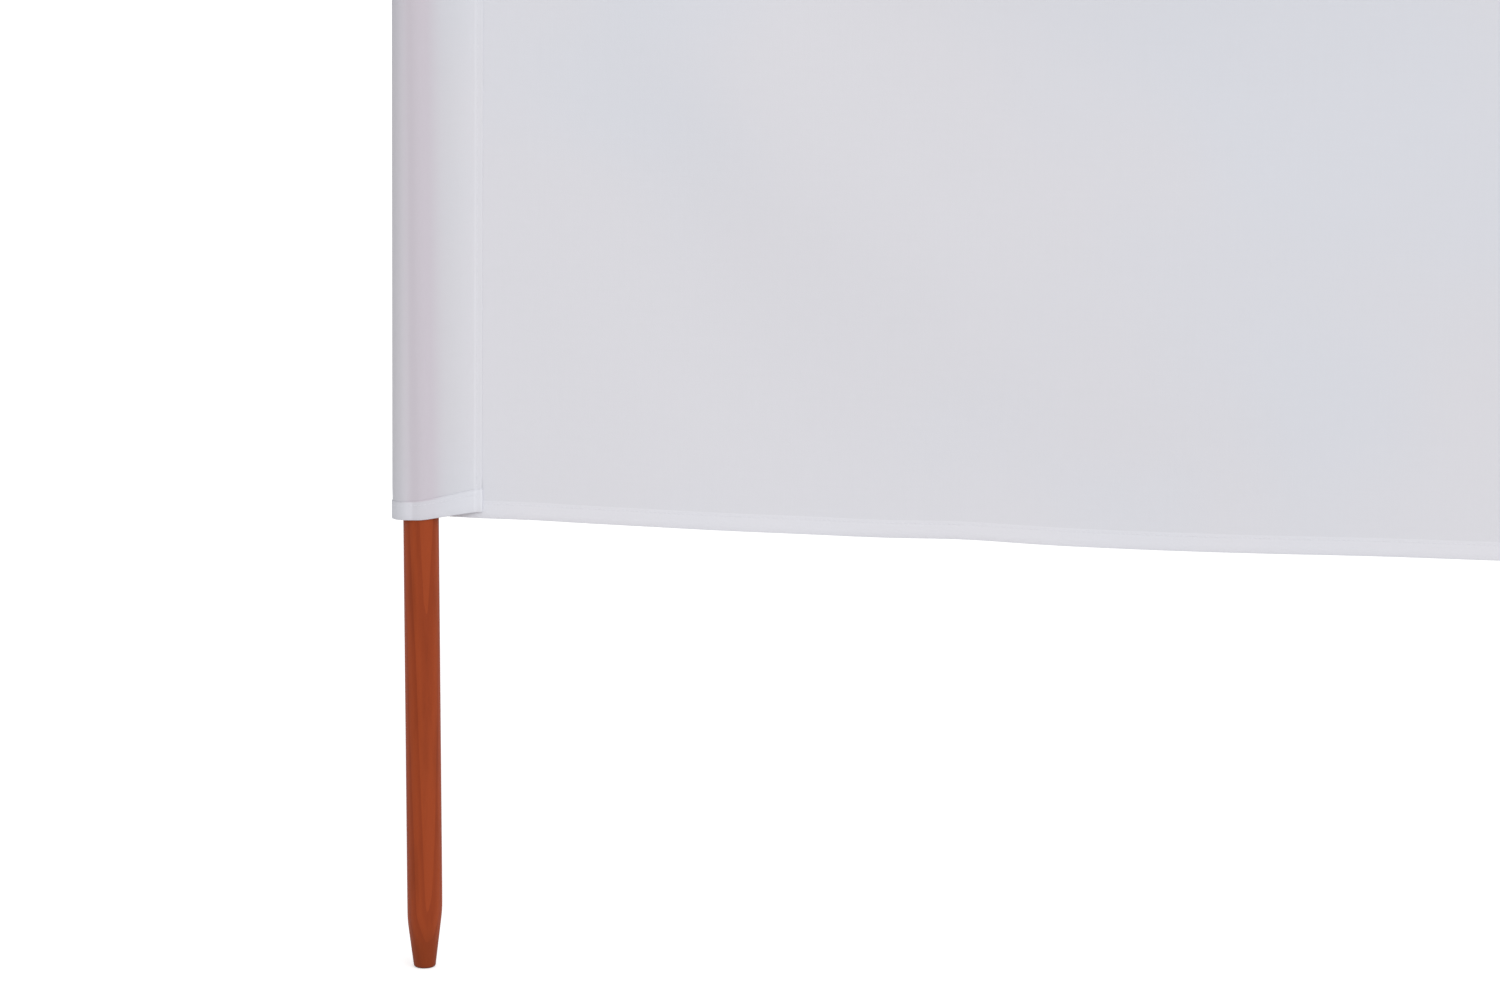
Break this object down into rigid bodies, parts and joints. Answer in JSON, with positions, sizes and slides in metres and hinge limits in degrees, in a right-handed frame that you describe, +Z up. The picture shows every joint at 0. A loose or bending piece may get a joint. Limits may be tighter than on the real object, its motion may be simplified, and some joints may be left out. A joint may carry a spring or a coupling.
{
  "type": "fabric windbreak",
  "caption": "Free-standing row of plain pale cloth bays, hemmed along both edges, with sewn sleeves on round pointed wooden stakes.",
  "frame": {"origin": "centre of the flat at the point of the middle stake", "axes": "+X along the row, +Y towards the flat back of the cloth, so the sleeves stand out on the -Y side; +Z up along the stakes"},
  "size_m": [8.0004, 0.0344, 1.2],
  "materials": {
    "stained_wood": "satin red-brown stain, fine grain along the stake",
    "panel_cloth": "thin matt plain-woven cloth, pale cool grey-white",
    "hem_cloth": "the same cloth folded over and sewn, so a little brighter",
    "sleeve_cloth": "the same cloth sewn round a stake"
  },
  "bodies": {
    "root": {"pole_1": "stained_wood", "pole_2": "stained_wood", "pole_3": "stained_wood", "pole_4": "stained_wood", "pole_5": "stained_wood", "pole_6": "stained_wood", "pole_7": "stained_wood", "panel_1": "panel_cloth", "panel_2": "panel_cloth", "panel_3": "panel_cloth", "panel_4": "panel_cloth", "panel_5": "panel_cloth", "panel_6": "panel_cloth", "bottom_hem_1": "hem_cloth", "bottom_hem_2": "hem_cloth", "bottom_hem_3": "hem_cloth", "bottom_hem_4": "hem_cloth", "bottom_hem_5": "hem_cloth", "bottom_hem_6": "hem_cloth", "top_hem_1": "hem_cloth", "top_hem_2": "hem_cloth", "top_hem_3": "hem_cloth", "top_hem_4": "hem_cloth", "top_hem_5": "hem_cloth", "top_hem_6": "hem_cloth", "end_sleeve_left": "sleeve_cloth", "end_sleeve_right": "sleeve_cloth", "sleeve_2": "sleeve_cloth", "sleeve_3": "sleeve_cloth", "sleeve_4": "sleeve_cloth", "sleeve_5": "sleeve_cloth", "sleeve_6": "sleeve_cloth"}
  },
  "joints": []
}
